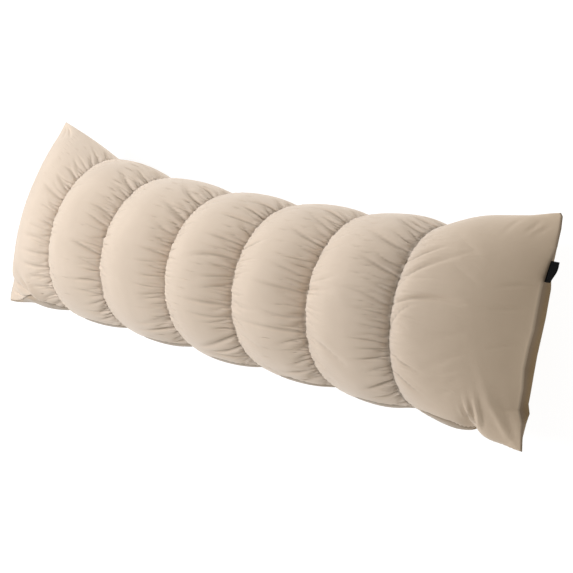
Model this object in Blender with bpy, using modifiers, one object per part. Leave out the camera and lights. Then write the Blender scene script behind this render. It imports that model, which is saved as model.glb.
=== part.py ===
# A long body pillow: one stuffed case, drawn in by six gathered channels into seven puffed
# panels, with a folded side label in one end seam. It lies on its back.
# Metres, +Z up. X runs along the pillow towards the label end, Y across it, and the origin is
# on the surface that it lies on, under the middle of its length and width.

import math
from collections import namedtuple

import bmesh
import bpy
from mathutils import Vector

LENGTH = 1.70  # corner to corner
SEAM_HEIGHT = 0.155  # the case's edge seam, above the surface
BOW = 0.040  # how far the middle lies to -Y of the end seams, measured along the axis
BOW_SKEW = -0.010  # makes one half of that bend a little tighter than the other
EDGE_POWER = 1.93  # 2 is a plain ellipse, less is sharper at the case's edge seam

# What each gathered channel draws the case in to.
Channel = namedtuple("Channel", "x half_width front back")
CHANNELS = (
    Channel(-0.580, 0.202, 0.139, 0.138),
    Channel(-0.355, 0.190, 0.154, 0.142),
    Channel(-0.105, 0.186, 0.159, 0.144),
    Channel(0.121, 0.186, 0.160, 0.144),
    Channel(0.349, 0.190, 0.157, 0.142),
    Channel(0.576, 0.202, 0.144, 0.138),
)

# How far each panel stands out past its channels. Lean moves the crown, as a share of the panel.
Panel = namedtuple("Panel", "side front back lean")
PANELS = (
    Panel(0.007, 0.036, 0.032, 0.00),
    Panel(0.017, 0.056, 0.044, -0.03),
    Panel(0.017, 0.059, 0.044, 0.00),
    Panel(0.018, 0.060, 0.044, -0.02),
    Panel(0.017, 0.058, 0.044, 0.01),
    Panel(0.017, 0.059, 0.044, -0.02),
    Panel(0.009, 0.042, 0.032, 0.00),
)
PUFF_POWER = 0.72  # 1 is a plain sine from channel to channel, less is fuller beside them

# The straight seam at each end: half its length, and how far its middle is drawn in.
End = namedtuple("End", "half_width drawn_in")
ENDS = (End(0.257, -0.004), End(0.244, 0.017))
EAR_REACH = 0.060  # corners are thinner than the rest within this distance
EAR_THINNING = 0.40

# Where the edge seam is drawn in between a channel and a corner: panel, which edge (-1 is -Y),
# how far in from the end seam as a share of the panel, depth and half length.
Pinch = namedtuple("Pinch", "panel edge inward depth half_length")
PINCHES = (
    Pinch(0, -1, 0.36, 0.011, 0.055),
    Pinch(6, -1, 0.40, 0.010, 0.040),
    Pinch(6, 1, 0.30, 0.003, 0.070),
)

# The gathers beside a channel: folds of this pitch, deepest a short way out from the stitches.
GATHER_PITCHES = (0.047, 0.034)
GATHER_DEPTHS = (0.0042, 0.0022)
GATHER_PEAK = 0.014
GATHER_REACH = 0.050
GATHER_AT_STITCHES = 0.25
GATHER_PLUS_SIDE = 0.60  # they are shallower on the +X side of each channel
FLOOR_FADE = 0.040  # gathers and folds flatten out this close to the surface below

# Single folds: panel, share of the panel along X, angle around from the front's middle, then
# half length, half width, depth (a ridge is negative) and slant from the X direction.
Fold = namedtuple("Fold", "panel along degrees half_length half_width depth slant")
FOLDS = (
    Fold(0, 0.16, -62, 0.060, 0.014, 0.010, 38),
    Fold(0, 0.26, -66, 0.055, 0.012, -0.006, 38),
    Fold(1, 0.72, 16, 0.050, 0.014, 0.006, -12),
    Fold(2, 0.70, 8, 0.060, 0.013, 0.006, -8),
    Fold(3, 0.66, 14, 0.070, 0.013, 0.007, -6),
    Fold(3, 0.64, -20, 0.065, 0.014, 0.006, 4),
    Fold(4, 0.62, 26, 0.070, 0.014, 0.007, -18),
    Fold(4, 0.62, -24, 0.070, 0.014, 0.006, -6),
    Fold(5, 0.40, -34, 0.090, 0.014, 0.006, -30),
    Fold(5, 0.66, 40, 0.060, 0.013, 0.006, -24),
    Fold(6, 0.46, -66, 0.060, 0.013, 0.009, 48),
    Fold(6, 0.56, -70, 0.055, 0.012, 0.008, 60),
    Fold(6, 0.18, 34, 0.060, 0.014, 0.006, 22),
)

ROWS_PER_PANEL = (7, 6, 6, 6, 6, 6, 7)
COLUMNS = 58  # across the front, and again across the back
RADIUS = 0.18  # the section's mean radius, which turns an angle into a length around it

LABEL_FROM = 25.0  # degrees around from the front's middle, where the label's seam starts
LABEL_WIDTH = 0.044
LABEL_REACH = 0.019
LABEL_THICK = 0.0016
LABEL_GAP = 0.0003
LABEL_DROOP = 0.004

CASE_COLOUR = (0.70, 0.59, 0.465, 1.0)
LABEL_COLOUR = (0.012, 0.011, 0.012, 1.0)


def panel_span(panel):
    """The x of the panel's two ends."""
    stops = [-LENGTH / 2] + [channel.x for channel in CHANNELS] + [LENGTH / 2]
    return stops[panel], stops[panel + 1]


def bend(x, y):
    """A point of the straight pillow, turned square to the bowed axis."""
    u = 2 * x / LENGTH
    centre = -BOW * (1 - u * u) + BOW_SKEW * (u**3 - u)
    slope = (2 * BOW * u + BOW_SKEW * (3 * u * u - 1)) * 2 / LENGTH
    square = math.hypot(1, slope)
    return x - y * slope / square, centre + y / square


def middle_section(panel, share):
    """Half width, front depth and back depth of a panel between two channels."""
    start, end = CHANNELS[panel - 1], CHANNELS[panel]
    shape = PANELS[panel]
    leaned = share - shape.lean * math.sin(math.pi * share)
    puff = max(0.0, math.sin(math.pi * leaned)) ** PUFF_POWER
    return tuple(
        getattr(start, name) * (1 - share) + getattr(end, name) * share + crown * puff
        for name, crown in (
            ("half_width", shape.side),
            ("front", shape.front),
            ("back", shape.back),
        )
    )


def end_section(panel, inward):
    """The same for an end panel: inward is 0 at its straight seam and 1 at its channel."""
    channel = CHANNELS[0] if panel == 0 else CHANNELS[-1]
    end = ENDS[0] if panel == 0 else ENDS[1]
    shape = PANELS[panel]
    swell = 4 * inward * (1 - inward)
    closing = math.sqrt(inward)
    half_width = end.half_width + (channel.half_width - end.half_width) * inward
    return (
        half_width + shape.side * swell,
        channel.front * closing + shape.front * swell,
        channel.back * closing + shape.back * swell,
    )


def gather_relief(panel, x, around):
    """How far the gathers of the panel's channels draw the cloth in at this point."""
    relief = 0.0
    for channel_number in (panel - 1, panel):
        if not 0 <= channel_number < len(CHANNELS):
            continue
        away = abs(x - CHANNELS[channel_number].x)
        rise = GATHER_AT_STITCHES + (1 - GATHER_AT_STITCHES) * min(1.0, away / GATHER_PEAK)
        fade = math.exp(-max(0.0, away - GATHER_PEAK) / GATHER_REACH)
        side = 1 if x > CHANNELS[channel_number].x else -1
        phase = 2.4 * channel_number + 0.9 * side
        strength = rise * fade * (GATHER_PLUS_SIDE if side > 0 else 1.0)
        for pitch, depth in zip(GATHER_PITCHES, GATHER_DEPTHS):
            turns = 2 * math.pi * RADIUS * around / pitch
            wander = 1.3 * math.sin(2.6 * around + phase) + 0.8 * math.sin(5.3 * around - phase)
            relief += depth * strength * math.cos(turns + wander + phase)
    return relief


def fold_relief(panel, share, around):
    """How far the single folds draw the cloth in at this point."""
    start, end = panel_span(panel)
    relief = 0.0
    for fold in FOLDS:
        if fold.panel != panel:
            continue
        dx = (share - fold.along) * (end - start)
        dy = (around - math.radians(fold.degrees)) * RADIUS
        slant = math.radians(fold.slant)
        along = (dx * math.cos(slant) + dy * math.sin(slant)) / fold.half_length
        across = (dy * math.cos(slant) - dx * math.sin(slant)) / fold.half_width
        relief += fold.depth * math.exp(-along * along - across * across)
    return relief


def pinched(panel, inward, across):
    """How far the edge seam's pinches draw this point in towards the axis."""
    start, end = panel_span(panel)
    drawn = 0.0
    for pinch in PINCHES:
        if pinch.panel == panel and pinch.edge * across > 0:
            away = (inward - pinch.inward) * (end - start) / pinch.half_length
            drawn += pinch.depth * math.exp(-away * away) * abs(across) ** 5
    return drawn


def case_point(panel, share, around):
    """A point of the case. Around is 0 in the front's middle, and a right angle at the seam."""
    start, end = panel_span(panel)
    x = start + (end - start) * share
    at_front = abs(around) <= math.pi / 2
    end_panel = panel in (0, len(PANELS) - 1)
    inward = 1.0
    if end_panel:
        inward = share if panel == 0 else 1 - share
        half_width, front, back = end_section(panel, inward)
    else:
        half_width, front, back = middle_section(panel, share)
    sine, cosine = math.sin(around), math.cos(around)
    across = math.copysign(abs(sine) ** (2 / EDGE_POWER), sine)
    out = math.copysign(max(0.0, abs(cosine)) ** (2 / EDGE_POWER), cosine)
    y = half_width * across
    z = (front if at_front else back) * out
    relief = gather_relief(panel, x, around) + fold_relief(panel, share, around)
    relief *= min(1.0, 3 * abs(cosine)) * min(1.0, 4 * inward)
    relief *= min(1.0, max(0.0, SEAM_HEIGHT + z) / FLOOR_FADE)
    y -= relief * across + math.copysign(pinched(panel, inward, across), across)
    z -= relief * out
    if end_panel:
        ending = ENDS[0] if panel == 0 else ENDS[1]
        to_corner = math.hypot(inward * (end - start), half_width - abs(y))
        z *= 1 - EAR_THINNING * math.exp(-((to_corner / EAR_REACH) ** 2))
        toward_middle = 1 if panel == 0 else -1
        x += toward_middle * ending.drawn_in * (1 - across * across) * (1 - inward)
    x, y = bend(x, y)
    return Vector((x, y, max(0.0, SEAM_HEIGHT + z)))


def rows():
    """Panel and share of every row of points, close together beside the channels."""
    for panel, count in enumerate(ROWS_PER_PANEL):
        for row in range(count):
            yield panel, (1 - math.cos(math.pi * row / count)) / 2
    yield len(ROWS_PER_PANEL) - 1, 1.0


def add_cloth(mesh, front):
    """One side of the case, as a grid laid on the section from seam to seam."""
    places = list(rows())
    grid = bmesh.ops.create_grid(
        mesh, x_segments=len(places) - 1, y_segments=COLUMNS, size=0.5
    )
    for vert in grid["verts"]:
        panel, share = places[round((vert.co.x + 0.5) * (len(places) - 1))]
        around = math.pi * vert.co.y
        vert.co = case_point(panel, share, around if front else math.pi - around)
    faces = {face for vert in grid["verts"] for face in vert.link_faces}
    if not front:
        bmesh.ops.reverse_faces(mesh, faces=list(faces))


def new_object(name, mesh, collection, colour, roughness):
    data = bpy.data.meshes.new(name)
    mesh.to_mesh(data)
    mesh.free()
    data.shade_smooth()
    material = bpy.data.materials.new(name)
    material.use_nodes = True
    shader = material.node_tree.nodes["Principled BSDF"]
    shader.inputs["Base Color"].default_value = colour
    shader.inputs["Roughness"].default_value = roughness
    shader.inputs["Metallic"].default_value = 0.0
    data.materials.append(material)
    made = bpy.data.objects.new(name, data)
    collection.objects.link(made)
    return made


def pillow(collection):
    mesh = bmesh.new()
    add_cloth(mesh, front=True)
    add_cloth(mesh, front=False)
    bmesh.ops.remove_doubles(mesh, verts=mesh.verts, dist=1e-5)
    return new_object("pillow", mesh, collection, CASE_COLOUR, 0.85)


def side_label(collection):
    """A ribbon folded in two, caught in the end seam and standing out from it."""
    mesh = bmesh.new()
    segments = 4
    grid = bmesh.ops.create_grid(mesh, x_segments=segments, y_segments=segments, size=0.5)
    last = len(PANELS) - 1
    turn = LABEL_WIDTH / (ENDS[1].half_width * math.cos(math.radians(LABEL_FROM + 6)))
    for vert in grid["verts"]:
        out, along = vert.co.x + 0.5, vert.co.y + 0.5
        root = case_point(last, 1.0, math.radians(LABEL_FROM) + turn * along)
        reach = LABEL_GAP + LABEL_REACH * out
        vert.co = root + Vector((reach, 0, -LABEL_DROOP * out * out))
    label = new_object("side_label", mesh, collection, LABEL_COLOUR, 0.6)
    thickness = label.modifiers.new("Ribbon", "SOLIDIFY")
    thickness.thickness = LABEL_THICK
    thickness.offset = 0.0
    return label


def centre_on_origin(parts):
    """Moves the meshes so that the middle of their box is over the origin."""
    corners = [vert.co for part in parts for vert in part.data.vertices]
    middle = Vector(
        [(min(c[axis] for c in corners) + max(c[axis] for c in corners)) / 2 for axis in (0, 1)]
        + [0.0]
    )
    for part in parts:
        for vert in part.data.vertices:
            vert.co -= middle


def main():
    for old in list(bpy.data.objects):
        bpy.data.objects.remove(old, do_unlink=True)
    collection = bpy.data.collections.new("body_pillow")
    bpy.context.scene.collection.children.link(collection)
    centre_on_origin([pillow(collection), side_label(collection)])


main()
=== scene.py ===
import math

import bpy
import numpy as np
from mathutils import Matrix, Vector


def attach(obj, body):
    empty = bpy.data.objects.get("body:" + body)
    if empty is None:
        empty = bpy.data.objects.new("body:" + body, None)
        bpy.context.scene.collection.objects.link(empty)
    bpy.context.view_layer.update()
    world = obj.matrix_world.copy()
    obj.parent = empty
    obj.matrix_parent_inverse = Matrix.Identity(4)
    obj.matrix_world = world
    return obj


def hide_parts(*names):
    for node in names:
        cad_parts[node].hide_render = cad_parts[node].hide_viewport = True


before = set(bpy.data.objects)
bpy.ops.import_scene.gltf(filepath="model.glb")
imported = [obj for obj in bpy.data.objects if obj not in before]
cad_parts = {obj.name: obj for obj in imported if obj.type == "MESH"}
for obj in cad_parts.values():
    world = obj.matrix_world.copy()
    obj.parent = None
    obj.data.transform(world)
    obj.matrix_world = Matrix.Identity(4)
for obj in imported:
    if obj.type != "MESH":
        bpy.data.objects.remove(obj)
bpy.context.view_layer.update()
scene = bpy.context.scene

# the case lies along X, and its form is the same as in the part's own source
case = {
    "length": 1.70,
    "seamHeight": 0.155,  # edge seam above the surface it lies on
    "bow": 0.040,
    "bowSkew": -0.010,
    "edgePower": 1.93,
    "puffPower": 0.66,
    # the end panels, the left one and the one with the label
    "endPuffPower": (0.66, 1.0),
    "endPuffLean": (1.25, 4.0),
    "endWedge": (0.0, 0.8),  # 0 is rounded down to the end seam, 1 comes down straight
    "wedgePower": 2.65,
    "place": (0.0064, -0.00024),  # from the form's own origin to the frame's
    # how the corners thin out: the lower left one is a flat ear, then all the others
    "earThinning": (0.80, 0.40),
    "earReach": (0.070, 0.060),
    "earPower": (4, 2),
    "seamEdge": 0.0011,  # half the thickness of the cloth layers in the end seams
    "seamEdgePower": 6,
    "pinchPower": 5,
    "girthRadius": 0.18,  # turns an angle round the case into a length
    "fill": 0.85,
}
# what each gathered channel draws the case in to: x, half width, front and back
channels = (
    (-0.580, 0.202, 0.139, 0.138),
    (-0.355, 0.190, 0.154, 0.142),
    (-0.105, 0.186, 0.159, 0.144),
    (0.121, 0.186, 0.160, 0.144),
    (0.349, 0.190, 0.157, 0.142),
    (0.576, 0.202, 0.148, 0.138),
)
# how far a panel stands out past its channels: side, front, back, and its crown's lean
panels = (
    (0.007, 0.050, 0.032, 0.00),
    (0.017, 0.056, 0.044, -0.03),
    (0.017, 0.059, 0.044, 0.00),
    (0.018, 0.060, 0.044, -0.02),
    (0.017, 0.058, 0.044, 0.01),
    (0.017, 0.057, 0.044, -0.01),
    (0.009, 0.014, 0.032, 0.00),
)
lastPanel = len(panels) - 1
ends = ((0.257, 0.010), (0.244, 0.017))  # half width, and how far the middle is drawn in
# where the edge seam is drawn in: x, which edge, depth, half length
pinches = (
    (-0.753, -1, 0.011, 0.055),
    (-0.120, -1, 0.006, 0.050),
    (0.450, 1, 0.006, 0.100),
    (0.550, -1, 0.005, 0.040),
    (0.576, 1, 0.011, 0.060),
    (0.733, -1, 0.012, 0.036),
    (0.735, -1, 0.010, 0.012),
    (0.760, 1, 0.007, 0.070),
    (0.800, -1, 0.004, 0.030),
)
# how far the end seams wander from a straight line: place across the case, then inward
leftSeamWander = (
    (-0.257, 0), (-0.24, -0.007), (-0.21, -0.013), (-0.18, -0.012), (-0.10, -0.002),
    (0, 0.001), (0.10, -0.002), (0.19, -0.010), (0.245, 0), (0.257, 0.004),
)
labelSeamWander = (
    (-0.244, 0), (-0.19, 0.002), (-0.163, 0.012), (-0.12, 0.008), (-0.08, 0.0105),
    (-0.035, 0.007), (0, 0.002), (0.09, 0.003), (0.14, -0.002), (0.17, -0.008),
    (0.21, -0.006), (0.236, -0.001), (0.244, 0.007),
)
# how far the back cloth hangs out past the seam at the label end
labelEndBag = (
    (-0.244, 0), (-0.215, 0.002), (-0.188, 0.006), (-0.167, 0.014), (-0.148, 0.005),
    (-0.05, 0.007), (0.03, 0.013), (0.09, 0.013), (0.125, 0.004), (0.17, 0.004),
    (0.21, 0.001), (0.244, 0),
)
# how far in from the seam these reach
seamReach = {"front": 0.050, "back": 0.004, "bagEnd": 0.060}
# broad folds: panel, share along it, degrees round, half length, half width, depth, slant
folds = (
    (0, 0.48, -61, 0.045, 0.017, 0.008, -42),
    (0, 0.73, -58, 0.045, 0.014, -0.006, -55),
    (6, 0.62, -70, 0.035, 0.018, 0.004, 80),
)


def panelSpan(panel):
    stops = [-case["length"] / 2] + [channel[0] for channel in channels] + [case["length"] / 2]
    return stops[panel], stops[panel + 1]


def inwardOf(panel, share):
    # 0 at an end seam, 1 at the first channel and everywhere between the end panels
    if panel == 0:
        return share
    return 1 - share if panel == lastPanel else 1


def bend(x, y):
    # the pillow lies in a slight curve
    u = 2 * x / case["length"]
    skew = case["bowSkew"]
    centre = -case["bow"] * (1 - u * u) + skew * (u**3 - u)
    slope = (2 * case["bow"] * u + skew * (3 * u * u - 1)) * 2 / case["length"]
    square = np.hypot(1, slope)
    return x - y * slope / square, centre + y / square


def section(panel, share):
    # half width, front depth and back depth of the case here
    crown = panels[panel]
    if panel in (0, lastPanel):
        inward = inwardOf(panel, share)
        which = 0 if panel == 0 else 1
        channel = (channels[0], channels[-1])[which]
        swell = 4 * inward * (1 - inward)
        halfWidth = ends[which][0] + (channel[1] - ends[which][0]) * inward + crown[0] * swell
        leaned = inward ** case["endPuffLean"][which]
        swell = (4 * leaned * (1 - leaned)) ** case["endPuffPower"][which]
        closing, wedge = math.sqrt(inward), case["endWedge"][which]
        frontClosing = closing * (1 - wedge) + (1 - (1 - inward) ** case["wedgePower"]) * wedge
        front = channel[2] * frontClosing + crown[1] * swell
        return halfWidth, front, channel[3] * closing + crown[2] * swell
    leaned = share - crown[3] * math.sin(math.pi * share)
    puff = max(0.0, math.sin(math.pi * leaned)) ** case["puffPower"]
    one, two = channels[panel - 1], channels[panel]
    return tuple(one[k] * (1 - share) + two[k] * share + crown[k - 1] * puff for k in (1, 2, 3))


def wander(table, y):
    places, amounts = zip(*table)
    return np.interp(y, places, amounts)


def endShift(panel, share, y, isFront):
    # the end seams' own line, and the back cloth that hangs out past the one with the label
    start, end = panelSpan(panel)
    away = inwardOf(panel, share) * (end - start)
    reach = np.where(isFront, seamReach["front"], seamReach["back"])
    shift = np.exp(-away / reach) * wander(leftSeamWander if panel == 0 else labelSeamWander, y)
    if panel == lastPanel:
        bag = (1 - math.exp(-away / seamReach["back"])) * math.exp(-away / seamReach["bagEnd"])
        shift = shift - np.where(isFront, 0, bag * wander(labelEndBag, y))
    return shift if panel == 0 else -shift


def caseRow(panel, share, around):
    # one ring of points round the case: around is 0 in the front's middle, pi / 2 at the seam
    start, end = panelSpan(panel)
    x = np.full_like(around, start + (end - start) * share)
    halfWidth, front, back = section(panel, share)
    sine, cosine = np.sin(around), np.cos(around)
    across = np.sign(sine) * np.abs(sine) ** (2 / case["edgePower"])
    out = np.sign(cosine) * np.abs(cosine) ** (2 / case["edgePower"])
    y = halfWidth * across
    z = np.where(cosine >= 0, front, back) * out
    for place, edge, depth, halfLength in pinches:
        near = np.exp(-(((x - place) / halfLength) ** 2))
        drawn = depth * near * np.abs(across) ** case["pinchPower"]
        y -= np.where(edge * across > 0, np.sign(across) * drawn, 0)
    if panel in (0, lastPanel):
        inward = inwardOf(panel, share)
        ending = ends[0] if panel == 0 else ends[1]
        toCorner = np.hypot(inward * (end - start), halfWidth - np.abs(y))
        for which, isHere in ((0, (panel == 0) & (y < 0)), (1, (panel != 0) | (y >= 0))):
            thinner = np.exp(-((toCorner / case["earReach"][which]) ** case["earPower"][which]))
            z *= np.where(isHere, 1 - case["earThinning"][which] * thinner, 1)
        x += (1 if panel == 0 else -1) * ending[1] * (1 - across * across) * (1 - inward)
        x += endShift(panel, share, y, cosine >= 0)
        z += np.sign(out) * case["seamEdge"] * (1 - inward) ** case["seamEdgePower"]
    x, y = bend(x, y)
    return np.stack([x + case["place"][0], y + case["place"][1], case["seamHeight"] + z], axis=-1)


# rows run round the case and are closest beside the channels; columns run along it
grid = {
    "rowsPerPanel": (44, 24, 24, 24, 24, 24, 44),
    "rowCrowding": 0.80,  # 0 is even, 1 crowds them as much as a half circle would
    # the end panels have slanting creases: what part of the rows lies before which share
    "endRows": {
        0: ((0, 0), (0.10, 0.06), (0.60, 0.68), (0.88, 0.95), (1, 1)),
        6: ((0, 0), (0.12, 0.04), (0.38, 0.46), (0.86, 0.86), (1, 1)),
    },
    "frontColumns": 380,
    "backColumns": 96,
    "columnCrowding": 0.15,
}


def crowd(share, amount):
    return share * (1 - amount) + amount * (1 - math.cos(math.pi * share)) / 2


def rowsOf(counts, crowding, endRows=None):
    rows = []
    for panel, count in enumerate(counts):
        for row in range(count):
            share = crowd(row / count, crowding)
            if endRows and panel in endRows:
                share = float(np.interp(row / count, *zip(*endRows[panel])))
            rows.append((panel, share))
    return rows + [(lastPanel, 1.0)]


def columnsOf(frontCount, backCount, crowding):
    front = [crowd(k / frontCount, crowding) - 0.5 for k in range(frontCount)]
    back = [crowd(k / backCount, crowding) + 0.5 for k in range(backCount)]
    return math.pi * np.array(front + back)


def closedUp(columns):
    return np.append(columns, columns[0] + 2 * math.pi)


def rowPlaces(rows):
    spans = [panelSpan(panel) for panel, share in rows]
    return np.array([one + (two - one) * share for (one, two), (panel, share) in zip(spans, rows)])


def rising(rows, onset):
    # from 0 at the end seams up to 1
    inward = np.array([inwardOf(*row) for row in rows])
    return np.minimum(1, onset * inward)[:, None]


def surfaceNormals(points):
    # points are rows by columns, and the columns close up into a ring
    along = np.gradient(points, axis=0)
    crosswise = np.roll(points, -1, axis=1) - np.roll(points, 1, axis=1)
    normals = np.cross(along, crosswise)
    return normals / np.maximum(np.linalg.norm(normals, axis=2, keepdims=True), 1e-12)


# main creases, by panel: from share and degrees, to share and degrees, then
# bow, width and depth in mm; a share of 0 or 1 starts in a seam, a depth below 0 is a ridge
creases = {
    0: (
        (0.1, 75, 0.24, 64, 1, 10, 4), (0.13, 78, 0.34, 70, 1, 9, 3.5), (1, 40, 0.79, 46, 6, 8, 4),
        (1, 33, 0.78, 37, -1, 8, 3.5), (1, 22, 0.66, 27, 0, 10, 4.5), (1, -4, 0.72, -3, 1, 9, 2.5),
        (1, -12, 0.68, -11, 2, 9, 3.5), (1, -22, 0.66, -22, 0, 9, 3.5), (1, -32, 0.64, -31, -3, 10, 5),
        (1, -42, 0.72, -42, 4, 9, 4), (1, -53, 0.76, -50, 3, 9, 3.5), (1, -58, 0.82, -64, 3, 8, 3),
        # towards the ear
        (0.7, -66, 0.53, -48, 1, 14, 15), (0.54, -49, 0.45, -40, 0, 9, 4),
        (0.56, -65, 0.27, -50, 2, 10, 8), (0.64, -66, 0.31, -70, -1, 10, 7),
        (0.35, -71, 0.1, -63, 1, 9, 6), (0.77, -70, 0.67, -47, 1, 12, -6),
    ),
    1: (
        (1, 65, 0.73, 72, 0, 7, 4.6), (1, 49, 0.67, 61, -2, 8, 5.5), (1, 41, 0.78, 47, 2, 6, 3.6),
        (1, 21, 0.74, 26, 6, 7, 4.2), (1, -9, 0.7, -3, 0, 7, 5.5), (1, -19, 0.76, -14, 0, 6, 3.6),
        (1, -30, 0.72, -31, 2, 7, 4.6), (1, -42, 0.73, -39, 3, 6, 3.6), (1, -57, 0.71, -59, -4, 6, 3.6),
    ),
    2: (
        (1, 66, 0.74, 73, 6, 7, 5.5), (1, 53, 0.63, 68, -6, 9, 5.5), (1, 34, 0.7, 44, 2, 8, 5.5),
        (1, 22, 0.78, 27, -5, 6, 3.6), (1, 4, 0.8, 6, 2, 6, 4.5), (1, -24, 0.79, -28, 0, 6, 4.6),
        (1, -44, 0.67, -52, -6, 8, 3.2), (1, -54, 0.65, -60, -2, 8, 5.5), (1, -68, 0.83, -76, -6, 6, 5.5),
        (0.2, -19, 0.35, -25, -1, 6, 2.2), (0, -13, 0.46, -21, 1, 8, 2.6),
    ),
    3: (
        (1, 63, 0.74, 63, 6, 6, 5.5), (1, 50, 0.74, 55, 3, 7, 5.5), (1, 42, 0.66, 43, 2, 7, 5),
        (1, 24, 0.65, 26, 1, 7, 5), (1, 13, 0.56, 9, 6, 8, 5.5), (1, 0, 0.74, -4, 0, 6, 3.6),
        (1, -21, 0.55, -21, 0, 9, 5.5), (1, -29, 0.59, -30, -4, 8, 4.6), (1, -43, 0.48, -60, -3, 9, 5.5),
        (1, -53, 0.61, -63, -6, 9, 5.5), (1, -67, 0.53, -64, -6, 9, 5.5), (0, -42, 0.33, -40, 6, 8, 4.2),
        (0, -46, 0.37, -59, 6, 7, 2.7),
    ),
    4: (
        (1, 60, 0.68, 67, 5, 7, 5.5), (1, 47, 0.64, 58, -1, 8, 4.2), (1, 33, 0.65, 41, -1, 8, 5.5),
        (1, 10, 0.65, 15, -1, 8, 3.6), (1, -1, 0.53, 1, 0, 9, 4.6), (1, -18, 0.6, -16, -5, 8, 3.6),
        (1, -28, 0.38, -27, 0, 9, 5.5), (1, -57, 0.59, -65, -3, 9, 4.6), (1, -84, 0.67, -81, -3, 7, 5.5),
        (0.21, -38, 0.52, -46, 3, 8, 3.6), (0.31, -62, 0.64, -76, -1, 8, 5.5),
        (0, 21, 0.39, 29, -2, 9, 5.5), (0, -13, 0.51, -18, -6, 8, 3.2),
    ),
    5: (
        (1, 72, 0.7, 76, -3, 8, 5.5), (1, 56, 0.66, 66, -3, 8, 5), (1, 37, 0.59, 47, -4, 9, 5.5),
        (1, 19, 0.65, 27, 1, 8, 5.5), (1, 0, 0.63, 7, 4, 8, 3.6), (1, -48, 0.73, -58, -1, 7, 5.5),
        (1, -58, 0.75, -67, -6, 7, 4.1), (0.26, -29, 0.58, -41, 5, 10, 6),
        (0.24, -46, 0.28, -64, 1, 7, 3.6), (0.24, -22, 0.5, -31, 4, 11, -3),
        (0.5, 6, 0.68, -5, 3, 12, -2.5), (0, 27, 0.39, 34, -2, 8, 2.7), (0, 8, 0.47, 13, -6, 7, 3),
        (0, 2, 0.37, 3, 0, 7, 4.1), (0, -11, 0.39, -16, 0, 7, 2.7),
    ),
    6: (
        (0, 46, 0.16, 53, -1, 5, 2.2), (0, 29, 0.26, 39, 2, 8, 5.5), (0, 18, 0.4, 33, 1, 8, 5.5),
        (0, 12, 0.31, 32, 6, 9, 4.6), (0, 2, 0.44, 9, 6, 9, 5.5), (0, -13, 0.2, 3, 6, 7, 5.5),
        (0, -28, 0.26, -34, -2, 7, 4.6), (0, -40, 0.25, -49, 0, 7, 4.6),
        # from the pinch in the lower edge
        (0.58, -75, 0.6, -50, 0, 7, 6.5), (0.565, -73, 0.572, -54, 0, 7, -2.5),
        (0.61, -66, 0.63, -46, -2, 7, -3), (0.63, -69, 0.665, -45, -2, 7, 4.5),
        (0.68, -65, 0.7, -42, -3, 8, -3.5), (0.7, -66, 0.725, -41, -5, 7, 2),
        # towards the lower corner, and along the end seam
        (0.98, -80, 0.79, -34, 0, 14, -5), (0.98, -64, 0.89, -36, 0, 16, 3), (1, -42, 0.88, -44, 0, 9, 4),
        (0.89, -75, 0.92, -66, 0, 5, 3), (0.99, 23, 0.8, 20, 2, 7, 2.7), (0.97, 12, 0.76, 8, -2, 8, 2.3),
        (0.96, -8, 0.8, -12, 2, 8, 1.9), (0.92, 62, 0.86, 52, 1, 6, 2.7), (0.84, 66, 0.8, 55, -1, 7, 2.3),
        (0.7, 68, 0.66, 54, 1, 8, 2),
    ),
}
creaseLook = {
    "drop": -0.3,  # from the dark line in the photo round to the trough's middle, in widths
    "softEnd": 0.14,  # a share of the crease's length
    "bellShare": 0.6,  # from the width at half depth to the bell curve's own measure
    "blend": 3,  # where creases meet, the deeper one counts
    "seamWidth": 0.6,  # width at the seam, and how far from it they have their own
    "seamReach": 0.025,
}
# the many small gathers between them, side by side along both sides of every channel
gathers = {
    "seed": 21,
    "pitch": 0.0088,
    "unevenPitch": 0.4,
    "unevenLean": 4,  # degrees
    "unevenBow": 3,
    # they fan out towards the edge seams, on the side of the left end and of the label end
    "leaning": (0.12, 0.30),
    "clearance": 0.004,  # from a main crease
    # the thread's own puckers, towards the left end and towards the label end
    "toothPitch": 0.0088,
    "toothDepth": (0.0010, 0.0014),
    "toothReach": (0.012, 0.040),
    "toothDrift": ((1.6, 0.047), (1.1, 0.021)),  # how far out of step, over what length
    "toothUneven": (0.75, 0.25, 0.033),  # mean, swing and length
    "toothRise": (0.35, 0.006),  # share of the depth right at the seam, and where it is full
    "seamShare": (1.0, 1.0, 1.0, 0.9, 0.75, 0.5),  # by channel
    "quietAtFloor": 0.040,
    "onset": 8,  # how fast they set in from the end seams and the edge seam
    "hollowWidth": 0.022,
    # creases at the seam that faces the left end start flat and reach their depth here
    "riseFrom": 0.35,
    "riseReach": 0.020,
    # least and most reach, width and depth towards the left end and towards the label end
    "leftReach": (0.020, 0.062),
    "leftWidth": (3.4, 5.0),
    "leftDepth": (1.6, 4.2),
    "labelReach": (0.035, 0.090),
    "labelWidth": (3.4, 5.4),
    "labelDepth": (1.8, 4.4),
}


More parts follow.
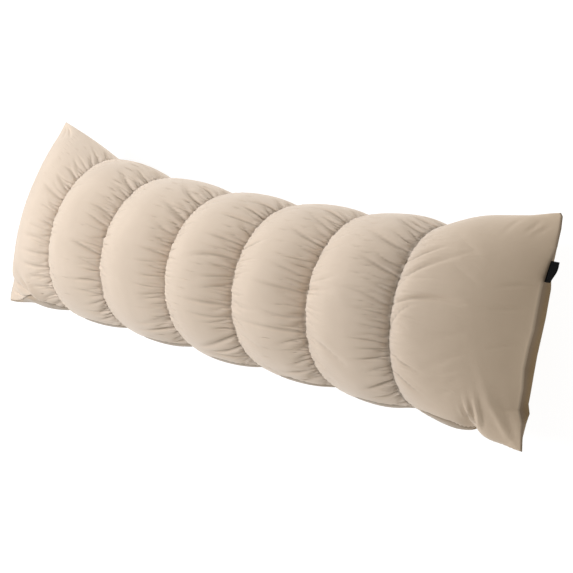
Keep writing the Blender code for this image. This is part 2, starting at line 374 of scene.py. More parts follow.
def smallGathers():
    rng = np.random.RandomState(gathers["seed"])
    uneven = gathers["unevenLean"]
    step = math.degrees(gathers["pitch"] / case["girthRadius"])
    clear = math.degrees(gathers["clearance"] / case["girthRadius"])
    made = {panel: [] for panel in creases}
    for number in range(len(channels)):
        for side, panel, seam in (("left", number, 1), ("label", number + 1, 0)):
            start, end = panelSpan(panel)
            taken = [row[1] for row in creases[panel] if row[0] == seam]
            for turn in np.arange(-90, 270, step):
                degrees = turn + rng.uniform(-gathers["unevenPitch"], gathers["unevenPitch"]) * step
                reach = rng.uniform(*gathers[side + "Reach"]) / (end - start)
                width = rng.uniform(*gathers[side + "Width"])
                depth = rng.uniform(*gathers[side + "Depth"])
                if side == "label":
                    depth *= gathers["seamShare"][number]
                fromFace = degrees if degrees < 90 else degrees - 180
                lean = gathers["leaning"][side == "label"] * fromFace + rng.uniform(-uneven, uneven)
                if degrees > 90:
                    lean = rng.uniform(-uneven, uneven)
                bow = rng.uniform(-gathers["unevenBow"], gathers["unevenBow"])
                if all(abs(degrees - other) > clear for other in taken):
                    toShare = 1 - reach if seam == 1 else reach
                    row = (seam, degrees, toShare, degrees + lean, bow, width, depth)
                    made[panel].append(row)
    return made


small = smallGathers()
for kind, rows in (("main", creases), ("small", small)):
    print(kind, "creases:", sum(map(len, rows.values())))


def fading(t):
    # divides a crease's depth, gently from 1 to very much as t goes past 0
    return 1 + np.exp(np.clip(t / creaseLook["softEnd"], -60, 60))


def creaseDepth(panel, shares, around):
    # depth below the plain form, for rows by columns of one panel
    start, end = panelSpan(panel)
    radius = case["girthRadius"]
    here, girth = ((end - start) * shares)[:, None], (around * radius)[None, :]
    troughs = np.zeros((len(shares), len(around)))
    ridges = np.zeros_like(troughs)
    blend = creaseLook["blend"]
    for row in (*creases[panel], *small[panel]):
        fromShare, fromDegrees, toShare, toDegrees, bow, width, depth = row
        one = np.array([fromShare * (end - start), math.radians(fromDegrees) * radius])
        two = np.array([toShare * (end - start), math.radians(toDegrees) * radius])
        length = math.hypot(*(two - one))
        along = (two - one) / length
        t = ((here - one[0]) * along[0] + (girth - one[1]) * along[1]) / length
        side = math.copysign(1, along[0])
        off = (girth - one[1]) * along[0] - (here - one[0]) * along[1]
        off = off - side * (4 * bow / 1000 * t * (1 - t) + creaseLook["drop"] * width / 1000)
        width = width / 1000 * creaseLook["bellShare"]
        ending = 1 / fading(t - 1)
        if fromShare in (0, 1):
            narrow = creaseLook["seamWidth"]
            wider = narrow + (1 - narrow) * t * length / creaseLook["seamReach"]
            width = width * np.clip(wider, narrow, 1)
        else:
            ending = ending / fading(-t)
        if fromShare == 0:
            ending = ending * np.clip(t * length / gathers["riseReach"], gathers["riseFrom"], 1)
        heap = (abs(depth) / 1000 * ending * np.exp(-((off / width) ** 2))) ** blend
        if depth > 0:
            troughs += heap
        else:
            ridges += heap
    return troughs ** (1 / blend) - ridges ** (1 / blend)


def drifting(place, waves, *starts):
    parts = zip(waves, starts)
    return sum(size * np.sin(place / length + start) for (size, length), start in parts)


def foldDepth(panel, shares, around):
    start, end = panelSpan(panel)
    depths = np.zeros((len(shares), len(around)))
    for where, along, degrees, halfLength, halfWidth, depth, slant in folds:
        if where == panel:
            dx = ((shares - along) * (end - start))[:, None]
            dy = ((around - math.radians(degrees)) * case["girthRadius"])[None, :]
            turn = math.radians(slant)
            u = (dx * math.cos(turn) + dy * math.sin(turn)) / halfLength
            v = (dy * math.cos(turn) - dx * math.sin(turn)) / halfWidth
            depths += depth * np.exp(-u * u - v * v)
    return depths


def toothDepth(girth, away, number, side):
    # the small regular puckers of the gathering thread itself
    depth = gathers["toothDepth"][side > 0] * gathers["seamShare"][number]
    reach = gathers["toothReach"][side > 0]
    drift = drifting(girth, gathers["toothDrift"], number, side - 2 * number)
    mean, swing, swingLength = gathers["toothUneven"]
    uneven = mean + swing * np.sin(girth / swingLength + 1.7 * number + side)
    least, full = gathers["toothRise"]
    rise = least + (1 - least) * np.minimum(1, away / full)
    wave = np.cos(2 * math.pi * girth / gathers["toothPitch"] + drift)
    return depth * uneven * rise * np.exp(-away / reach) * wave


edgeSeam = {
    # how many degrees the seam rides up on the side that faces the camera, in the end panels
    # by x and in the others by share
    "ride": (
        (-0.83, 8), (-0.765, 15), (-0.72, 22), (-0.66, 26), (-0.63, 18), (-0.60, 8),
        (-0.585, 0), (0.578, 0), (0.60, 14), (0.64, 20), (0.67, 21), (0.70, 20), (0.708, 17),
        (0.716, 12), (0.735, 0),
    ),
    "middleRide": ((0, 0), (0.30, 8), (0.45, 15), (0.60, 14), (0.75, 10), (0.90, 7), (1, 0)),
    # and how many it lies lower on the far side, by x
    "farDrop": ((-0.85, 0), (-0.80, 18), (0.10, 18), (0.60, 10), (0.80, 0)),
    "groove": 0.0018,
    "grooveHalfWidth": 0.0028,
    "pucker": 0.0010,
    "puckerPitch": 0.0115,
    "puckerReach": 0.013,
    "puckerDrift": ((1.4, 0.031), (0.9, 0.013)),
    "puckerUnevenLength": 0.052,
    "flatFrom": 6,  # degrees of riding up
}


def seamRide(x):
    ride = wander(edgeSeam["ride"], x)
    for one, two in zip(channels, channels[1:]):
        share = (x - one[0]) / (two[0] - one[0])
        ride = np.where((share > 0) & (share < 1), wander(edgeSeam["middleRide"], share), ride)
    return ride


def beyondEdgeSeam(x, turns):
    # distance from the edge seam along the girth, above 0 on the front and below 0 on the back
    turn = (turns + math.pi) % (2 * math.pi) - math.pi
    ride = np.where(turn < 0, np.radians(seamRide(x)), -np.radians(wander(edgeSeam["farDrop"], x)))
    return (math.pi / 2 - ride - np.abs(turn)) * case["girthRadius"]


def fromAnySeam(x, turns):
    # the same, and the end seams count too
    side = beyondEdgeSeam(x, turns)
    toEnd = case["length"] / 2 - np.abs(x)
    return np.where(np.abs(side) < toEnd, side, np.copysign(toEnd, side))


def edgeSeamDepth(x, columns):
    # a groove where the front and back cloths are sewn together, and the puckers beside it
    place = x[:, None]
    toSeam = np.abs(beyondEdgeSeam(place, columns[None, :]))
    drift = drifting(place, edgeSeam["puckerDrift"], 0, 2)
    whichEdge = np.sign(np.sin(columns))[None, :]
    uneven = 0.5 + 0.5 * np.sin(place / edgeSeam["puckerUnevenLength"] + whichEdge)
    wave = np.cos(2 * math.pi * place / edgeSeam["puckerPitch"] + drift + np.sin(columns)[None, :])
    flat = np.clip(1 - seamRide(x) / edgeSeam["flatFrom"], 0, 1)[:, None]
    puckers = edgeSeam["pucker"] * uneven * wave * flat * np.exp(-toSeam / edgeSeam["puckerReach"])
    groove = edgeSeam["groove"] * np.exp(-((toSeam / edgeSeam["grooveHalfWidth"]) ** 2))
    return groove + puckers


def nearFloor(points):
    return np.clip(points[:, :, 2] / gathers["quietAtFloor"], 0, 1)


def quietness(points, rows, columns):
    # gathers and creases fade out at the end seams, along the edge seam and near the floor
    onset = gathers["onset"]
    fromEdge = np.minimum(1, onset * np.abs(np.cos(columns)))[None, :]
    return rising(rows, onset) * fromEdge * nearFloor(points)


def carvedCase(rows, columns, fine):
    # the plain form with its folds and creases, and how deep each point was cut
    points = np.array([caseRow(panel, share, columns) for panel, share in rows])
    x = rowPlaces(rows)
    panelOf = np.array([panel for panel, share in rows])
    shareOf = np.array([share for panel, share in rows])
    relief = np.zeros(points.shape[:2])
    for panel in range(len(panels)):
        here = panelOf == panel
        shares = shareOf[here]
        relief[here] = foldDepth(panel, shares, columns) + creaseDepth(panel, shares, columns)
    if fine:
        girth = (columns * case["girthRadius"])[None, :]
        for number, channel in enumerate(channels):
            for side in (-1, 1):
                near = (panelOf == number + (1 if side > 0 else 0)) | (x == channel[0])
                away = np.abs(x[near] - channel[0])[:, None]
                relief[near] += toothDepth(girth, away, number, side)
    relief *= quietness(points, rows, columns)
    if fine:
        relief += edgeSeamDepth(x, columns) * nearFloor(points)
    return points - surfaceNormals(points) * relief[:, :, None], relief


# a cloth simulation with the channels held: the extra cloth beside them has to fold
settling = {
    "seed": 3,
    "rowsPerMetre": 180,
    "rowCrowding": 0.55,
    "frontColumns": 130,
    "backColumns": 70,
    "slack": 0.20,  # extra cloth that the channels gather in
    "slackFrom": 0.35,  # in an end panel, by how far in from the end seam
    "slackRise": 0.3,
    "quality": 5,
    "mass": 0.1,
    "pressure": 4.0,
    "frames": 16,
    "startNoise": 0.0006,
    "mostMove": 0.016,
    "smoothGirth": 0.085,  # wrinkles narrower than this are kept, the form itself isn't changed
    "strength": 0.45,
    "calmAtEnds": 3.0,
}


def clothMoves(start, rows, columns):
    # how far each point has moved once the cloth has settled
    rowCount, columnCount = start.shape[:2]
    made = meshFromRings("settlingCase", start, columns, capped=False)
    girths = np.linalg.norm(np.roll(start, -1, axis=1) - start, axis=2).sum(axis=1)
    held = made.vertex_groups.new(name="held")
    snug = made.vertex_groups.new(name="snug")
    for k, (panel, share) in enumerate(rows):
        ring = list(range(k * columnCount, (k + 1) * columnCount))
        fullest = max(girth for girth, (other, _) in zip(girths, rows) if other == panel)
        slack = min(1.0, (fullest / girths[k] - 1) / settling["slack"])
        if panel in (0, lastPanel):
            beyond = inwardOf(panel, share) - settling["slackFrom"]
            slack *= min(1.0, max(0.0, beyond / settling["slackRise"]))
        snug.add(ring, 1 - slack, "REPLACE")
        if share in (0.0, 1.0):
            held.add(ring, 1.0, "REPLACE")
    modifier = made.modifiers.new("Cloth", "CLOTH")
    how = modifier.settings
    how.quality = settling["quality"]
    how.mass = settling["mass"]
    how.use_pressure = True
    how.uniform_pressure_force = settling["pressure"]
    how.effector_weights.gravity = 0
    how.vertex_group_mass = "held"
    how.vertex_group_shrink = "snug"
    how.shrink_min = -settling["slack"]
    how.shrink_max = 0
    modifier.collision_settings.use_collision = False
    modifier.collision_settings.use_self_collision = False
    modifier.point_cache.frame_start = 1
    modifier.point_cache.frame_end = settling["frames"]
    for number in range(1, settling["frames"] + 1):
        scene.frame_set(number)
    settled = made.evaluated_get(bpy.context.evaluated_depsgraph_get())
    flat = np.zeros(rowCount * columnCount * 3, np.float32)
    settled.data.vertices.foreach_get("co", flat)
    scene.frame_set(1)
    bpy.data.objects.remove(made)
    return flat.reshape(start.shape) - start


def settledWrinkles(rows, columns):
    start, _ = carvedCase(rows, columns, fine=False)
    rng = np.random.RandomState(settling["seed"])
    rough = (rng.rand(*start.shape[:2]) - 0.5)[..., None]
    start = start + surfaceNormals(start) * rough * settling["startNoise"]
    moved = clothMoves(start, rows, columns)
    far = np.linalg.norm(moved, axis=2, keepdims=True)
    moved *= np.minimum(1, settling["mostMove"] / np.maximum(far, 1e-9))
    wrinkles = moved - smoothRound(moved, columns, settling["smoothGirth"])
    print("cloth settled: furthest", round(float(far.max()) * 1000, 1), "mm")
    calm = rising(rows, settling["calmAtEnds"]) * quietness(start, rows, columns)
    return wrinkles * settling["strength"] * calm[..., None]


def smoothRound(field, columns, width):
    # a running mean round each ring
    gap = np.abs(columns[:, None] - columns[None, :])
    gap = np.minimum(gap, 2 * math.pi - gap) * case["girthRadius"]
    weights = np.exp(-((gap / (width / 2)) ** 2))
    weights *= np.diff(closedUp(columns))[None, :]
    weights /= weights.sum(axis=1, keepdims=True)
    return np.einsum("ij,rjk->rik", weights, field)


def cubicWeights(t):
    # for the four neighbours of a place between the second and the third
    return (
        0.5 * (-t + 2 * t**2 - t**3),
        0.5 * (2 - 5 * t**2 + 3 * t**3),
        0.5 * (t + 4 * t**2 - 3 * t**3),
        0.5 * (-(t**2) + t**3),
    )


def finer(field, fromRows, fromColumns, toRows, toColumns):
    # carries a field from the settling grid to the case's own finer grid
    count = len(fromColumns)
    place = np.interp(toColumns, closedUp(fromColumns), np.arange(count + 1))
    base = np.floor(place).astype(int)
    weights = cubicWeights((place - base)[None, :, None])
    field = sum(w * field[:, (base + k) % count] for w, k in zip(weights, (-1, 0, 1, 2)))
    x, toX = rowPlaces(fromRows), rowPlaces(toRows)
    place = np.clip(np.interp(toX, x, np.arange(len(x))), 0, len(x) - 1 - 1e-9)
    base = np.floor(place).astype(int)
    t = (place - base)[:, None, None]
    return field[base] * (1 - t) + field[base + 1] * t


def casePoints(rows, columns):
    # the case's points, and how far each lies in a hollow between gathers
    points, relief = carvedCase(rows, columns, fine=True)
    hollow = relief - smoothRound(relief[:, :, None], columns, gathers["hollowWidth"])[:, :, 0]
    spans = [panelSpan(panel) for panel in range(len(panels))]
    counts = [round((end - start) * settling["rowsPerMetre"]) for start, end in spans]
    coarseRows = rowsOf(counts, settling["rowCrowding"])
    coarseColumns = columnsOf(settling["frontColumns"], settling["backColumns"], 0)
    wrinkles = settledWrinkles(coarseRows, coarseColumns)
    points = points + finer(wrinkles, coarseRows, coarseColumns, rows, columns)
    points[:, :, 2] = np.maximum(points[:, :, 2], 0)
    return points, hollow


def makeMesh(name, points, faces):
    mesh = bpy.data.meshes.new(name)
    mesh.from_pydata(points, [], faces)
    mesh.shade_smooth()
    made = bpy.data.objects.new(name, mesh)
    scene.collection.objects.link(made)
    return made


def writeAttribute(made, name, domain, values):
    kind, word = ("FLOAT_VECTOR", "vector") if values.shape[-1] == 3 else ("FLOAT", "value")
    attribute = made.data.attributes.new(name, kind, domain)
    attribute.data.foreach_set(word, values.ravel().astype(np.float32))


def endFaces(columns):
    # closes a ring between its front half and its back half, point by point
    count = len(columns)
    top = int(np.argmin(np.abs(columns - math.pi / 2)))
    front = [(columns[k] + math.pi / 2, k) for k in range(top + 1)]
    back = [(0.0, 0)] + [(1.5 * math.pi - columns[k], k) for k in range(count - 1, top - 1, -1)]
    faces, i, j = [], 0, 0
    while i < len(front) - 1 or j < len(back) - 1:
        frontNext = front[i + 1][0] if i < len(front) - 1 else math.inf
        backNext = back[j + 1][0] if j < len(back) - 1 else math.inf
        if frontNext <= backNext:
            face = (front[i][1], front[i + 1][1], back[j][1])
            i += 1
        else:
            face = (front[i][1], back[j + 1][1], back[j][1])
            j += 1
        if len(set(face)) == 3:
            faces.append(face)
    return faces


def meshFromRings(name, points, columns, capped=True):
    # smooth faces between the rings, and flat ones that close the ends
    rowCount, columnCount = points.shape[:2]
    faces = []
    for row in range(rowCount - 1):
        for column in range(columnCount):
            nextColumn = (column + 1) % columnCount
            a, b = row * columnCount + column, row * columnCount + nextColumn
            faces.append((a, a + columnCount, b + columnCount, b))
    if capped:
        closing = endFaces(columns)
        faces += closing
        last = (rowCount - 1) * columnCount
        faces += [(last + c, last + b, last + a) for a, b, c in closing]
    made = makeMesh(name, points.reshape(-1, 3).tolist(), faces)
    for polygon in list(made.data.polygons)[(rowCount - 1) * columnCount:]:
        polygon.use_smooth = False
    return made


def writeClothPlaces(made, rows, columns):
    # where each corner of a face lies on the flat cloth, in metres, and on the nearest sewn line
    mesh = made.data
    count = len(columns)
    x, radius = rowPlaces(rows), case["girthRadius"]
    grainPlaces = np.zeros((len(mesh.loops), 3))
    # the end faces are far from any channel and right at a seam, so they take the full dark seam line and
    # its painted shade
    stitchPlaces = np.tile((1.0, 0.0, 0.0), (len(mesh.loops), 1))
    turns = closedUp(columns)
    channelPlaces = np.array([channel[0] for channel in channels])
    quads = (len(rows) - 1) * count
    face = np.arange(quads)
    row, column = face // count, face % count
    corners = ((row, column), (row + 1, column), (row + 1, column + 1), (row, column + 1))
    middle = (x[row] + x[row + 1]) / 2
    nearest = channelPlaces[np.argmin(np.abs(middle[:, None] - channelPlaces[None, :]), axis=1)]
    for corner, (r, c) in enumerate(corners):
        loops = face * 4 + corner
        girth = turns[c] * radius
        grainPlaces[loops] = np.stack([x[r], girth, np.zeros(quads)], axis=1)
        stitchPlaces[loops] = np.stack([x[r] - nearest, girth, fromAnySeam(x[r], turns[c])], axis=1)
    writeAttribute(made, "grainPlace", "CORNER", grainPlaces)
    writeAttribute(made, "stitchPlace", "CORNER", stitchPlaces)
    onBack = np.ones(len(mesh.polygons), np.int32)
    turn = (turns[column] + turns[column + 1]) / 2
    ofFront = (turn < math.pi) & (beyondEdgeSeam(middle, turn) > 0)
    onBack[:quads] = (np.cos(turn) < 0) & ~ofFront
    mesh.polygons.foreach_set("material_index", onBack)


cloth = {
    "frontLight": (0.762, 0.634, 0.510),
    "frontDeep": (0.706, 0.583, 0.464),
    # the back cloth is darker and browner than the front; much of that darkness is painted shade for the
    # underside seen at the label end
    "backLight": (0.255, 0.175, 0.090),
    "backDeep": (0.205, 0.137, 0.069),
    "mottleScale": 11.0,
    "mottleShare": 0.6,  # the rest of the tone comes from the brushing
    "toneSpread": (0.32, 0.68),
    "napScale": 700.0,
    "napSpread": (0.35, 0.75),
    "napMost": 0.10,
    "brushScale": 26.0,
    "brushStretch": (1, 0.35, 1),
    "brushSpread": (0.3, 0.7),
    "threadPitch": 0.00045,
    "threadHeight": 0.00002,
    "napHeight": 0.00005,
    "crumpleScale": 75.0,
    "crumpleHeight": 0.00035,
    "bumpStrength": 0.8,
    "roughness": (0.76, 0.90),
    "specular": 0.2,
    "frontSheen": 0.25,
    "backSheen": 0.08,
    "sheenRoughness": 0.5,
    "stitchLength": 0.0032,
    "stitchPitch": 0.0042,
    "stitchHalfWidth": 0.0007,
    "stitchDip": 0.0006,
    "stitchColour": (0.60, 0.49, 0.37),
    # how the colour changes beside the seams: full at one distance and gone at another, how
    # much, to what colour; mostly painted light and shade, and below the seam that rides up the front
    # cloth gets painted shade
    # painted shade in the crevice along each channel, darker and greyer
    "seamPaintedShade": ((0.001, 0.007), 0.3, (0.31, 0.285, 0.255), "MIX"),
    # painted light: a cooler tint near the channels that cancels the warm light bouncing in the crevices
    "nearSeamPaintedCool": ((0.004, 0.035), 1.0, (0.985, 1.0, 1.025), "MULTIPLY"),
    # painted shade on the front cloth just below the edge seam where it rides up, on the underside turned
    # away from the light
    "underPaintedShade": ((-0.0015, -0.0005), 0.8, (0.40, 0.31, 0.22), "MIX"),
    # a dark line along the edge and end seams: partly the seam's own dark joint, partly painted shade in
    # its groove and under its edge
    "seamLineAndPaintedShade": ((0.0006, 0.004), 0.75, (0.22, 0.165, 0.115), "MIX"),
    # painted shade: the end panel, turned away from the key light, is darkened and warmed
    "endPaintedShade": (0.90, 0.87, 0.81),
    "endPaintedShadePlaces": (0.58, 0.85),
    # painted light: the front cloth is lightened towards the far edge
    "farPaintedLight": (1.12, 1.12, 1.12),  # towards the far edge, by place along the girth
    "farPaintedLightPlaces": (0.200, 0.262),
    # painted shade in the hollows between gathers and creases, fading away from the channels
    "hollowPaintedShade": (0.50, 0.485, 0.46),
    "hollowDepths": (0.0005, 0.0032),
    "hollowMost": 0.55,
    "hollowReach": (0.045, 0.095),  # fades out this far from a channel, down to a share
    "hollowLeast": 0.35,
}


class Finish:
    # a material with short words for its nodes
    nodeGap = 190
    nodesPerColumn = 5

    def __init__(self, name):
        self.material = bpy.data.materials.new(name)
        self.material.use_nodes = True
        self.nodes = self.material.node_tree.nodes
        self.links = self.material.node_tree.links
        self.shader = self.nodes["Principled BSDF"]
        self.made = 0

    def node(self, kind, **inputs):
        made = self.nodes.new(kind)
        column, row = divmod(self.made, self.nodesPerColumn)
        made.location = (-self.nodeGap * (column + 1.4), -self.nodeGap * row)
        self.made += 1
        for name, value in inputs.items():
            self.feed(made.inputs[name], value)
        return made

    def feed(self, socket, value):
        if isinstance(value, bpy.types.NodeSocket):
            self.links.new(value, socket)
        else:
            socket.default_value = value

    def paint(self, name, value):
        self.feed(self.shader.inputs[name], value)

    def maths(self, operation, one, two=0.0):
        made = self.node("ShaderNodeMath")
        made.operation = operation
        self.feed(made.inputs[0], one)
        self.feed(made.inputs[1], two)
        return made.outputs[0]

    def times(self, one, two):
        return self.maths("MULTIPLY", one, two)

    def weave(self, one, two, pitch, twoPitch):
        # threads across each other, from -1 to 1
        turn = 2 * math.pi
        warp = self.maths("SINE", self.times(one, turn / pitch))
        return self.times(warp, self.maths("SINE", self.times(two, turn / twoPitch)))

    def places(self, attribute):
        made = self.node("ShaderNodeAttribute")
        made.attribute_name = attribute
        return made.outputs["Vector"]

    def parts(self, attribute):
        return self.node("ShaderNodeSeparateXYZ", Vector=self.places(attribute)).outputs[:3]

    def noise(self, scale, detail=2.0, stretch=(1, 1, 1), attribute=None):
        if attribute:
            places = self.places(attribute)
        else:
            places = self.node("ShaderNodeTexCoord").outputs["Object"]
        stretched = self.node("ShaderNodeMapping", Scale=stretch, Vector=places).outputs[0]
        made = self.node("ShaderNodeTexNoise", Scale=scale, Detail=detail, Vector=stretched)
        return made.outputs["Fac"]

    def blend(self, amount, one, two, how="MIX"):
        made = self.node("ShaderNodeMix")
        made.data_type = "RGBA"
        made.blend_type = how
        self.feed(made.inputs["Factor"], amount)
        self.feed(made.inputs["A"], one if isinstance(one, bpy.types.NodeSocket) else (*one, 1))
        self.feed(made.inputs["B"], two if isinstance(two, bpy.types.NodeSocket) else (*two, 1))
        return made.outputs["Result"]

    def spread(self, value, low, high, toLow=0.0, toHigh=1.0):
        limits = {"From Min": low, "From Max": high, "To Min": toLow, "To Max": toHigh}
        return self.node("ShaderNodeMapRange", Value=value, **limits).outputs["Result"]

    def shadeBy(self, distance, colour, reach, most, shade, how):
        return self.blend(self.spread(distance, *reach, most, 0.0), colour, shade, how)

    def bump(self, height, strength):
        made = self.node("ShaderNodeBump", Strength=strength, Distance=1.0, Height=height)
        self.paint("Normal", made.outputs["Normal"])


def makeClothMaterial(name, side):
    # fine plain weave, brushed on the outside, sewn down along the channels
    finish = Finish(name)
    along, around, _ = finish.parts("grainPlace")
    weave = finish.weave(along, around, cloth["threadPitch"], cloth["threadPitch"])
    mottle = finish.noise(cloth["mottleScale"], 3.0)
    brushed = finish.noise(cloth["brushScale"], 2.0, cloth["brushStretch"], "grainPlace")
    nap = finish.noise(cloth["napScale"])
    crumple = finish.noise(cloth["crumpleScale"])
    fromLine, alongLine, fromEdge = finish.parts("stitchPlace")
    away = finish.maths("ABSOLUTE", fromLine)
    onLine = finish.maths("LESS_THAN", away, cloth["stitchHalfWidth"])
    repeat = finish.maths("FRACT", finish.maths("DIVIDE", alongLine, cloth["stitchPitch"]))
    onThread = finish.maths("LESS_THAN", repeat, cloth["stitchLength"] / cloth["stitchPitch"])
    stitch = finish.times(onLine, onThread)
    mottled = finish.times(mottle, cloth["mottleShare"])
    streaked = finish.times(brushed, 1 - cloth["mottleShare"])
    tone = finish.spread(finish.maths("ADD", mottled, streaked), *cloth["toneSpread"])
    colour = finish.blend(tone, cloth[side + "Deep"], cloth[side + "Light"])
    speckles = finish.spread(nap, *cloth["napSpread"], 0.0, cloth["napMost"])
    speckled = finish.blend(speckles, colour, cloth[side + "Deep"])
    sewn = finish.blend(stitch, speckled, cloth["stitchColour"])
    # painted shade in the channel crevices
    shaded = finish.shadeBy(away, sewn, *cloth["seamPaintedShade"])
    # painted shade in the hollows between gathers
    hollow, _, _ = finish.parts("hollow")
    hollowShadeAmount = finish.spread(hollow, *cloth["hollowDepths"], 0.0, cloth["hollowMost"])
    fainter = finish.spread(away, *cloth["hollowReach"], 1.0, cloth["hollowLeast"])
    hollowShadeAmount = finish.times(hollowShadeAmount, fainter)
    shaded = finish.blend(hollowShadeAmount, shaded, cloth["hollowPaintedShade"], "MULTIPLY")
    # painted light: cooler near the channels, against the warm bounce light
    shaded = finish.shadeBy(away, shaded, *cloth["nearSeamPaintedCool"])
    if side == "front":
        # painted shade below the seam that rides up
        shaded = finish.shadeBy(fromEdge, shaded, *cloth["underPaintedShade"])
        # painted shade over the end panel
        inEndShade = finish.spread(along, *cloth["endPaintedShadePlaces"])
        # painted light towards the far edge
        far = finish.spread(around, *cloth["farPaintedLightPlaces"])
        far = finish.times(far, finish.maths("SUBTRACT", 1.0, inEndShade))
        shaded = finish.blend(far, shaded, cloth["farPaintedLight"], "MULTIPLY")
        shaded = finish.blend(inEndShade, shaded, cloth["endPaintedShade"], "MULTIPLY")
    # the dark seam line, partly painted shade
    atEdge = finish.maths("ABSOLUTE", fromEdge)
    finish.paint("Base Color", finish.shadeBy(atEdge, shaded, *cloth["seamLineAndPaintedShade"]))
    finish.paint("Roughness", finish.spread(brushed, *cloth["brushSpread"], *cloth["roughness"]))
    threads = finish.times(weave, cloth["threadHeight"])
    fibres = finish.times(nap, cloth["napHeight"])
    crumples = finish.times(crumple, cloth["crumpleHeight"])
    height = finish.maths("ADD", finish.maths("ADD", threads, fibres), crumples)
    dip = finish.times(onLine, -cloth["stitchDip"])
    raised = finish.times(stitch, cloth["stitchDip"] / 2)
    height = finish.maths("ADD", height, finish.maths("ADD", dip, raised))
    finish.bump(height, cloth["bumpStrength"])
    finish.paint("Sheen Weight", cloth[side + "Sheen"])
    finish.paint("Sheen Roughness", cloth["sheenRoughness"])
    finish.paint("Specular IOR Level", cloth["specular"])
    return finish.material


def makeCase():
    rows = rowsOf(grid["rowsPerPanel"], grid["rowCrowding"], grid["endRows"])
    columns = columnsOf(grid["frontColumns"], grid["backColumns"], grid["columnCrowding"])
    points, hollow = casePoints(rows, columns)
    made = meshFromRings("quiltedCase", points, columns)
    writeAttribute(made, "hollow", "POINT", hollow)
    made.data.materials.append(makeClothMaterial("brushedSandCloth", "front"))
    made.data.materials.append(makeClothMaterial("brushedBackCloth", "back"))
    writeClothPlaces(made, rows, columns)
    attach(made, "root")
    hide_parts("pillow")
    print("case:", len(made.data.vertices), "points")
    return made


# a short ribbon folded in two, caught in the end seam
label = {
    "fromDegrees": 25.0,  # where it starts, round from the front's middle
    "middleDegrees": 31.0,  # and about where its middle is
    "width": 0.044,
    "reach": 0.0185,
    "cloth": 0.0005,
    "opening": 0.0007,  # half the gap between its two layers
    "openingReach": 0.006,
    "leastOpening": 0.4,  # right at its tucked-in end
    "tuckedIn": 0.002,
    "tiltAtEnds": (20, -10),  # degrees up from level, at its lower and its upper end
    "stepsOut": 14,
    "stepsRound": 8,
    "stepsAcross": 36,
    "bulge": 0.18,  # how much further its middle reaches, as a share
    "wave": 0.0006,
    "halfWaves": 2.2,
    "waveStart": 0.6,
    "pointGap": 0.0013,  # between the points of its section, for the weave
    "colour": (0.0018, 0.0018, 0.0018),
    "edgeColour": (0.005, 0.0045, 0.0045),
    "edgeReach": (0.003, 0.001),
    "dustScale": 320.0,
    "dustSpread": (0.45, 0.85),
    "dustMost": 0.35,
    "roughness": (0.62, 0.48),
    "specular": 0.07,
    "bumpStrength": 0.8,
    "threadPitch": 0.00055,
    "threadHeight": 0.00006,
}


def labelSection():
    # out from the seam along the upper layer, round the fold and back: distance out, height
    gap = label["opening"]
    straight = np.linspace(-label["tuckedIn"], label["reach"] - gap, label["stepsOut"])
    along = (straight + label["tuckedIn"]) / label["openingReach"]
    opened = gap * np.clip(along, label["leastOpening"], 1)
    upper = list(zip(straight, opened))
    turns = np.linspace(math.pi / 2, -math.pi / 2, label["stepsRound"] + 2)[1:-1]
    fold = [(label["reach"] - gap + gap * math.cos(turn), gap * math.sin(turn)) for turn in turns]
    lower = [(out, -height) for out, height in reversed(upper)]
    return upper + fold + lower


def makeLabelMaterial():
    # a tight woven ribbon with a smoother line along its edges
    finish = Finish("blackWovenRibbon")
    across, along, _ = finish.parts("ribbonPlace")
    weave = finish.weave(across, along, label["threadPitch"], 2 * label["threadPitch"])
    fromEdge = finish.maths("ABSOLUTE", finish.maths("SUBTRACT", across, label["width"] / 2))
    near, far = label["edgeReach"]
    edge = finish.spread(fromEdge, label["width"] / 2 - near, label["width"] / 2 - far)
    dust = finish.noise(label["dustScale"], 3.0)
    dusty = finish.spread(dust, *label["dustSpread"], 0.0, label["dustMost"])
    colour = finish.blend(dusty, label["colour"], label["edgeColour"])
    finish.paint("Base Color", finish.blend(edge, colour, label["edgeColour"]))
    finish.paint("Roughness", finish.spread(weave, -1, 1, *label["roughness"]))
    finish.bump(finish.times(weave, label["threadHeight"]), label["bumpStrength"])
    finish.paint("Specular IOR Level", label["specular"])
    return finish.material


def makeLabel(restsOn):
    # its root follows the end seam, and it tilts up at its lower end and down at its upper one
    outline = labelSection()
    steps = label["stepsAcross"]
    farTurn = label["width"] / (ends[1][0] * math.cos(math.radians(label["middleDegrees"])))
    shares = np.linspace(0, 1, steps + 1)
    roots = caseRow(lastPanel, 1.0, math.radians(label["fromDegrees"]) + farTurn * shares)
    roots[:, 2] -= case["seamEdge"]
    points, places = [], []
    for share, root in zip(shares, roots):
        tilt = math.radians(np.interp(share, (0, 1), label["tiltAtEnds"]))
        wave = label["wave"] * math.sin(label["halfWaves"] * math.pi * share + label["waveStart"])
        further = 1 + label["bulge"] * math.sin(math.pi * share)
        for k, (out, height) in enumerate(outline):
            out = out * further if out > 0 else out
            level = out * math.cos(tilt) - height * math.sin(tilt)
            lifted = wave * max(0, out) / label["reach"]
            up = out * math.sin(tilt) + height * math.cos(tilt) + lifted
            points.append((root[0] + level, root[1], root[2] + up))
            places.append((share * label["width"], k * label["pointGap"], 0))
    count = len(outline)
    faces = []
    for step in range(steps):
        for k in range(count - 1):
            a, b = step * count + k, (step + 1) * count + k
            faces.append((a, a + 1, b + 1, b))
    made = makeMesh("sideRibbon", points, faces)
    writeAttribute(made, "ribbonPlace", "POINT", np.array(places))
    thickness = made.modifiers.new("Ribbon", "SOLIDIFY")
    thickness.thickness = label["cloth"]
    thickness.offset = 0
    made.data.materials.append(makeLabelMaterial())
    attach(made, "root")
    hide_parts("side_label")
    print("label:", len(points), "points")


makeLabel(makeCase())

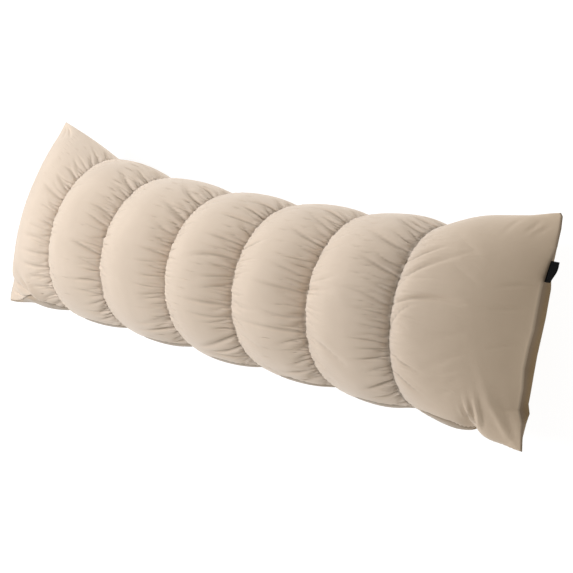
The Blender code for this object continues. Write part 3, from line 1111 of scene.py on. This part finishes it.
studio = {
    "distance": 4.5,
    "panelSize": 2.0,  # round soft boxes
    # name, degrees round from +X, degrees up, watts, colour
    "softBoxes": (
        ("key", 180, 60, 159, (0.98, 1.0, 1.05)),
        ("side", 118, 12, 30, (1, 1, 1)),
        ("low", 245, 15, 6, (1, 1, 1)),
    ),
    "worldColour": (1.0, 0.945, 0.86, 1),
    "worldStrength": 0.33,
    "floorColour": (0.20, 0.20, 0.20, 1),
    "floorRoughness": 0.9,
    "floorGlow": 0.93,
    "floorReach": 30.0,
}


def makeFloor():
    reach = studio["floorReach"]
    corners = [(x * reach, y * reach, 0) for x, y in ((-1, -1), (1, -1), (1, 1), (-1, 1))]
    floor = makeMesh("paleFloor", corners, [(0, 1, 2, 3)])
    finish = Finish("paleFloor")
    finish.paint("Base Color", studio["floorColour"])
    finish.paint("Roughness", studio["floorRoughness"])
    finish.paint("Emission Color", (1, 1, 1, 1))
    finish.paint("Emission Strength", studio["floorGlow"])
    floor.data.materials.append(finish.material)


def makeLight():
    world = bpy.data.worlds.new("studio")
    scene.world = world
    world.use_nodes = True
    background = world.node_tree.nodes["Background"]
    background.inputs["Color"].default_value = studio["worldColour"]
    background.inputs["Strength"].default_value = studio["worldStrength"]
    for name, turn, height, watts, colour in studio["softBoxes"]:
        data = bpy.data.lights.new(name, "AREA")
        data.shape = "DISK"
        data.size = studio["panelSize"]
        data.energy = watts
        data.color = colour
        softBox = bpy.data.objects.new(name, data)
        turn, height = math.radians(turn), math.radians(height)
        level = math.cos(height)
        toward = Vector((level * math.cos(turn), level * math.sin(turn), math.sin(height)))
        softBox.location = Vector((0, 0, case["seamHeight"])) + toward * studio["distance"]
        softBox.rotation_euler = toward.to_track_quat("Z", "Y").to_euler()
        scene.collection.objects.link(softBox)


def makeCamera():
    photo = {
        "place": (2.7083, 0.0248, 2.8505),
        "aim": (-0.69030, -0.01613, -0.72334),
        "up": (-0.17389, 0.97415, 0.14423),
        "lens": 101.1,
        "sensorWidth": 36,
    }
    data = bpy.data.cameras.new("photoCamera")
    data.sensor_width = photo["sensorWidth"]
    data.lens = photo["lens"]
    camera = bpy.data.objects.new("photoCamera", data)
    scene.collection.objects.link(camera)
    aim, up = Vector(photo["aim"]).normalized(), Vector(photo["up"])
    right = aim.cross(up).normalized()
    up = right.cross(aim)
    turned = Matrix((right, up, -aim)).transposed().to_4x4()
    camera.matrix_world = Matrix.Translation(photo["place"]) @ turned
    scene.camera = camera


makeFloor()
makeLight()
makeCamera()
scene.view_settings.view_transform = "Standard"
print("floor, light and camera are in place")
